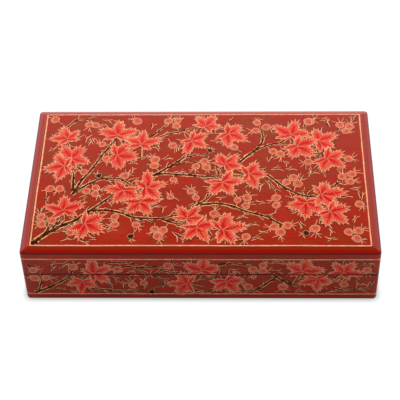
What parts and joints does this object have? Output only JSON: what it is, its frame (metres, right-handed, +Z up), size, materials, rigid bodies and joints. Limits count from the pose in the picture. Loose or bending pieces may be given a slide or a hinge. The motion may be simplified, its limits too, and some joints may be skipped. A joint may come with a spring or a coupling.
{
  "type": "papier mache box",
  "caption": "Low rectangular lacquered papier-mâché box over a wooden core, velvet-lined, with a flush bevelled lid hinged at the back.",
  "frame": {"origin": "middle of the box's body on the surface that it stands on, under the base shell", "axes": "+X along the box's length to the right as seen from the front, +Y to the hinged back, +Z up"},
  "size_m": [0.228, 0.1339, 0.0459],
  "materials": {
    "red_lacquer": "papier-mâché, painted vermilion red with a leaf and berry pattern, clear gloss lacquer",
    "core_wood": "plain sawn softwood board, unfinished",
    "painted_wood": "softwood board, painted black where it shows inside and at the rims",
    "velvet": "wine red cotton velvet over card",
    "brass_sheet": "rolled brass sheet, slightly dulled",
    "brass_wire": "drawn brass wire, slightly dulled",
    "iron_wire": "plain wire brads, headless"
  },
  "bodies": {
    "base": {"base_paper_shell": "red_lacquer", "base_floor_board": "core_wood", "base_front_wall": "painted_wood", "base_back_wall": "painted_wood", "base_left_wall": "painted_wood", "base_right_wall": "painted_wood", "base_corner_brads": "iron_wire", "base_floor_brads": "iron_wire", "base_floor_pad": "velvet", "base_front_lining": "velvet", "base_back_lining": "velvet", "base_left_lining": "velvet", "base_right_lining": "velvet", "left_hinge_base_leaf": "brass_sheet", "left_hinge_base_nails": "brass_wire", "left_hinge_pin": "brass_wire", "right_hinge_base_leaf": "brass_sheet", "right_hinge_base_nails": "brass_wire", "right_hinge_pin": "brass_wire"},
    "lid": {"lid_paper_shell": "red_lacquer", "lid_top_board": "core_wood", "lid_front_wall": "painted_wood", "lid_back_wall": "painted_wood", "lid_left_wall": "painted_wood", "lid_right_wall": "painted_wood", "lid_corner_brads": "iron_wire", "lid_top_brads": "iron_wire", "lid_ceiling_pad": "velvet", "left_hinge_lid_leaf": "brass_sheet", "left_hinge_lid_nails": "brass_wire", "right_hinge_lid_leaf": "brass_sheet", "right_hinge_lid_nails": "brass_wire"}
  },
  "joints": [
    {"name": "lid_hinge", "type": "hinge", "parent": "base", "child": "lid", "pos_m": [0, 0.06705, 0.02445], "axis": [-1, 0, 0], "range_deg": [0, 180]}
  ]
}
